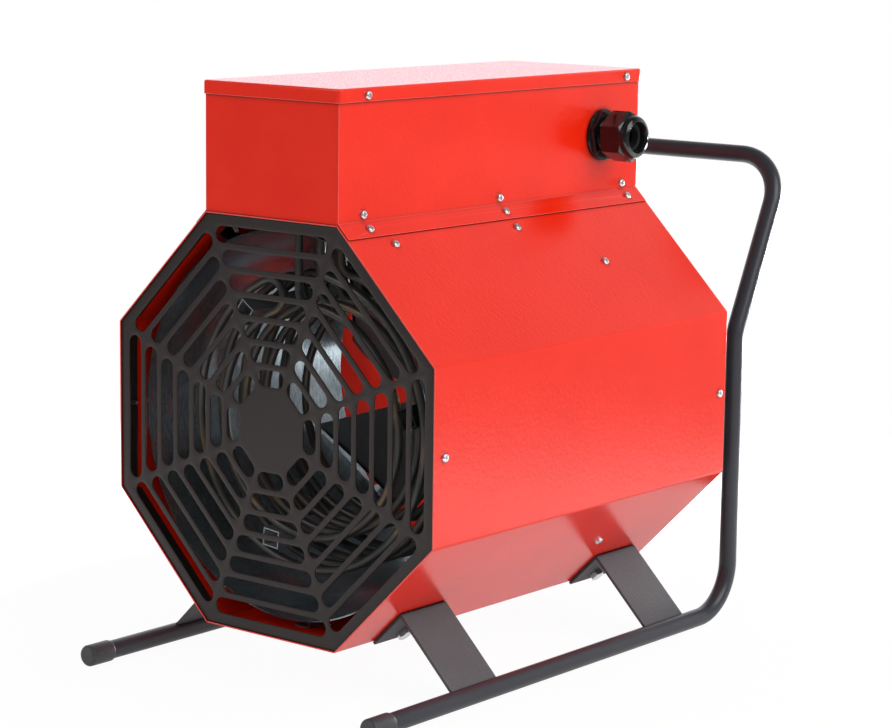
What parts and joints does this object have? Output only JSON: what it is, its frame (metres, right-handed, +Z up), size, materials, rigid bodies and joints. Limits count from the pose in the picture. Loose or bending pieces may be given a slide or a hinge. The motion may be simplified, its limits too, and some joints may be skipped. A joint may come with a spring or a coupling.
{
  "type": "forced air heater",
  "caption": "Portable forced air heater: octagonal red sheet casing with web-pattern grilles, a galvanised duct with ring elements and a fan, a control box on top and a bent tube skid frame.",
  "frame": {"origin": "on the floor, at the middle of the whole heater's width and length", "axes": "+X right seen from the front grille, -Y the way the warm air leaves, +Z up"},
  "size_m": [0.4052, 0.6686, 0.5731],
  "materials": {
    "red_powder_coat": "fine-textured satin powder coat",
    "dark_grille_coat": "fine-textured matt powder coat",
    "black_tube_coat": "satin black coat",
    "galvanised_steel": "zinc-coated sheet",
    "motor_aluminium": "cast, matt",
    "bright_steel": "bright",
    "black_fan_coat": "satin black coat",
    "element_sheath": "stainless sheath, heat tinted",
    "zinc_screws": "bright zinc",
    "white_ceramic": "glazed ceramic",
    "black_nylon": "gloss nylon",
    "black_rubber": "matt",
    "foot_rubber": "matt",
    "black_plastic": "matt moulded",
    "grey_plastic": "matt moulded",
    "lamp_lens": "amber lens"
  },
  "bodies": {
    "heater": {"box_base_screws": "zinc_screws", "box_lid": "red_powder_coat", "box_skirt_screws": "zinc_screws", "cable_gland_body": "black_nylon", "cable_gland_locknut": "black_nylon", "cable_gland_nut": "black_nylon", "cable_gland_seal": "black_rubber", "casing": "red_powder_coat", "component_tray": "galvanised_steel", "contactors": "grey_plastic", "control_box": "red_powder_coat", "duct_brackets": "galvanised_steel", "duct_screws": "zinc_screws", "element_plate": "galvanised_steel", "element_rails": "galvanised_steel", "foot_cap_left": "foot_rubber", "foot_cap_right": "foot_rubber", "frame_tube": "black_tube_coat", "front_grille": "dark_grille_coat", "grille_screws": "zinc_screws", "heating_element_1": "element_sheath", "heating_element_2": "element_sheath", "heating_element_3": "element_sheath", "heating_element_4": "element_sheath", "heating_element_5": "element_sheath", "inner_duct": "galvanised_steel", "leg_bolts": "zinc_screws", "leg_bracket_front_left": "dark_grille_coat", "leg_bracket_front_right": "dark_grille_coat", "leg_bracket_rear_left": "dark_grille_coat", "leg_bracket_rear_right": "dark_grille_coat", "leg_nuts": "zinc_screws", "lid_screws": "zinc_screws", "motor_bearings": "bright_steel", "motor_bracket": "galvanised_steel", "motor_bracket_screws": "zinc_screws", "motor_housing": "motor_aluminium", "motor_rear_cover": "motor_aluminium", "motor_screws": "zinc_screws", "overheat_cutout": "bright_steel", "pilot_lamp": "lamp_lens", "rear_grille": "dark_grille_coat", "selector_switch": "grey_plastic", "terminal_block": "grey_plastic", "terminal_bushes": "white_ceramic", "thermostat": "grey_plastic"},
    "fan": {"fan_wheel": "black_fan_coat", "motor_shaft": "bright_steel"},
    "selector": {"selector_knob": "black_plastic"},
    "thermostat_dial": {"thermostat_knob": "black_plastic"}
  },
  "joints": [
    {"name": "fan_spin", "type": "hinge", "parent": "heater", "child": "fan", "pos_m": [0, 0.02165, 0.2495], "axis": [0, 1, 0], "continuous": true},
    {"name": "selector_turn", "type": "hinge", "parent": "heater", "child": "selector", "pos_m": [0.038, 0.19695, 0.5151], "axis": [0, -1, 0], "range_deg": [0, 135]},
    {"name": "thermostat_turn", "type": "hinge", "parent": "heater", "child": "thermostat_dial", "pos_m": [-0.038, 0.19695, 0.5151], "axis": [0, -1, 0], "range_deg": [0, 270]}
  ]
}
